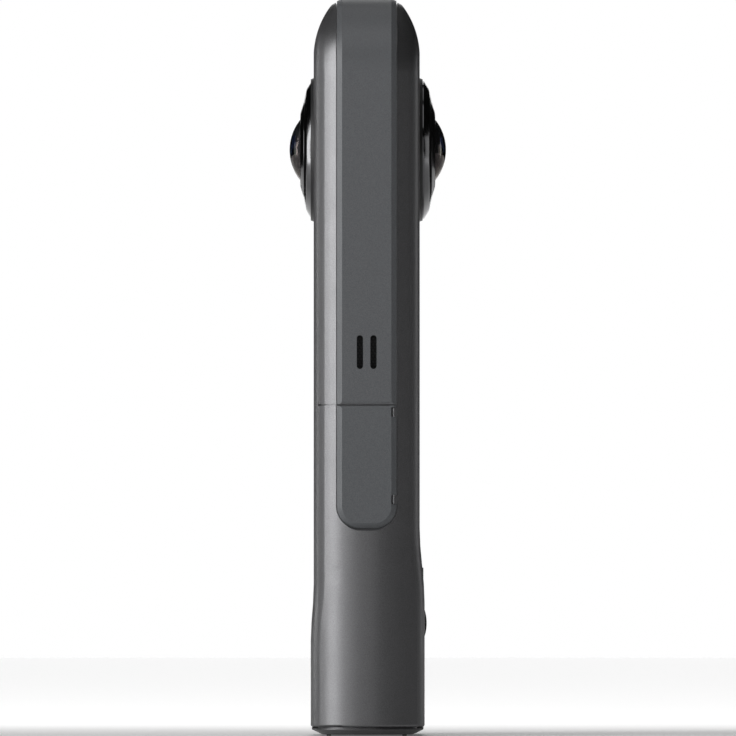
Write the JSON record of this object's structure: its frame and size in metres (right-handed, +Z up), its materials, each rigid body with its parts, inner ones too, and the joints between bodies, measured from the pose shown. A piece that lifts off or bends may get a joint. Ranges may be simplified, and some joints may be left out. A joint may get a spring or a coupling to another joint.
{
  "type": "360 degree camera",
  "caption": "Slim upright 360 degree camera: a fisheye lens on each broad face, display and shutter button in front, hinged port cover on the side, threaded tripod bush in the base.",
  "frame": {"origin": "centre of the bounding box at the bottom face of the feet", "axes": "+Z up along the length, -Y the display and shutter face, +Y the rear lens face, -X the port cover side, +X the side with the power and mode buttons"},
  "size_m": [0.0516, 0.029, 0.1362],
  "materials": {
    "casing_paint": "satin dark grey metallic paint",
    "trim_paint": "satin dark grey metallic paint",
    "cover_plastic": "fine matte, painted to match",
    "base_black": "fine textured black",
    "black_plastic": "moulded black",
    "lens_black": "anodised black, fine turned rings",
    "lens_glass": "coated optical glass",
    "display_glass": "polished cover glass over a dark display",
    "lamp_plastic": "clear light pipe",
    "button_metal": "satin, dark",
    "cast_alloy": "as cast",
    "steel": "plain",
    "brass": "turned",
    "copper": "rolled foil",
    "soft_rubber": "soft matte",
    "circuit_board": "solder mask",
    "battery_wrap": "film wrap"
  },
  "bodies": {
    "casing": {"main_body": "casing_paint", "rear_cover": "casing_paint", "trim_band": "trim_paint", "port_cover_pin": "steel", "port_seal": "soft_rubber", "port_frame": "black_plastic", "usb_socket": "steel", "card_socket": "steel", "port_board": "circuit_board", "speaker_mesh": "steel", "speaker_unit": "black_plastic", "front_lens_collar": "trim_paint", "rear_lens_collar": "trim_paint", "front_lens_ring": "lens_black", "rear_lens_ring": "lens_black", "front_lens_dome": "lens_glass", "rear_lens_dome": "lens_glass", "front_lens_barrel": "lens_black", "rear_lens_barrel": "lens_black", "optical_frame": "cast_alloy", "prism_pair": "lens_glass", "relay_barrels": "lens_black", "image_sensors": "circuit_board", "display_glass": "display_glass", "display_panel": "black_plastic", "display_link": "black_plastic", "shutter_bezel": "trim_paint", "shutter_switch": "steel", "shutter_board": "circuit_board", "status_lamp": "lamp_plastic", "side_switch_board": "circuit_board", "inner_frame": "cast_alloy", "main_board": "circuit_board", "shield_cans": "steel", "heat_spreader": "copper", "battery_pack": "battery_wrap", "battery_pads": "soft_rubber", "board_screws": "steel", "frame_screws": "steel", "base_plate": "base_black", "base_feet": "soft_rubber", "base_screws": "steel", "tripod_bush": "brass", "microphones": "steel", "antenna_strip": "copper"},
    "port_door": {"port_cover": "cover_plastic"},
    "shutter_key": {"shutter_button": "button_metal"},
    "power_key": {"power_button": "button_metal"},
    "mode_key": {"mode_button": "button_metal"}
  },
  "joints": [
    {"name": "port_cover_hinge", "type": "hinge", "parent": "casing", "child": "port_door", "pos_m": [-0.0246, -0.00505, 0.05185], "axis": [0, 0, 1], "range_deg": [0, 95]},
    {"name": "shutter_press", "type": "slide", "parent": "casing", "child": "shutter_key", "axis": [0, 1, 0], "range_m": [0, 0.0004], "stiffness_N_per_m": 1500, "springref_m": -0.0006},
    {"name": "power_press", "type": "slide", "parent": "casing", "child": "power_key", "axis": [-1, 0, 0], "range_m": [0, 0.0003], "stiffness_N_per_m": 1500, "springref_m": -0.0006},
    {"name": "mode_press", "type": "slide", "parent": "casing", "child": "mode_key", "axis": [-1, 0, 0], "range_m": [0, 0.0003], "stiffness_N_per_m": 1500, "springref_m": -0.0006}
  ]
}
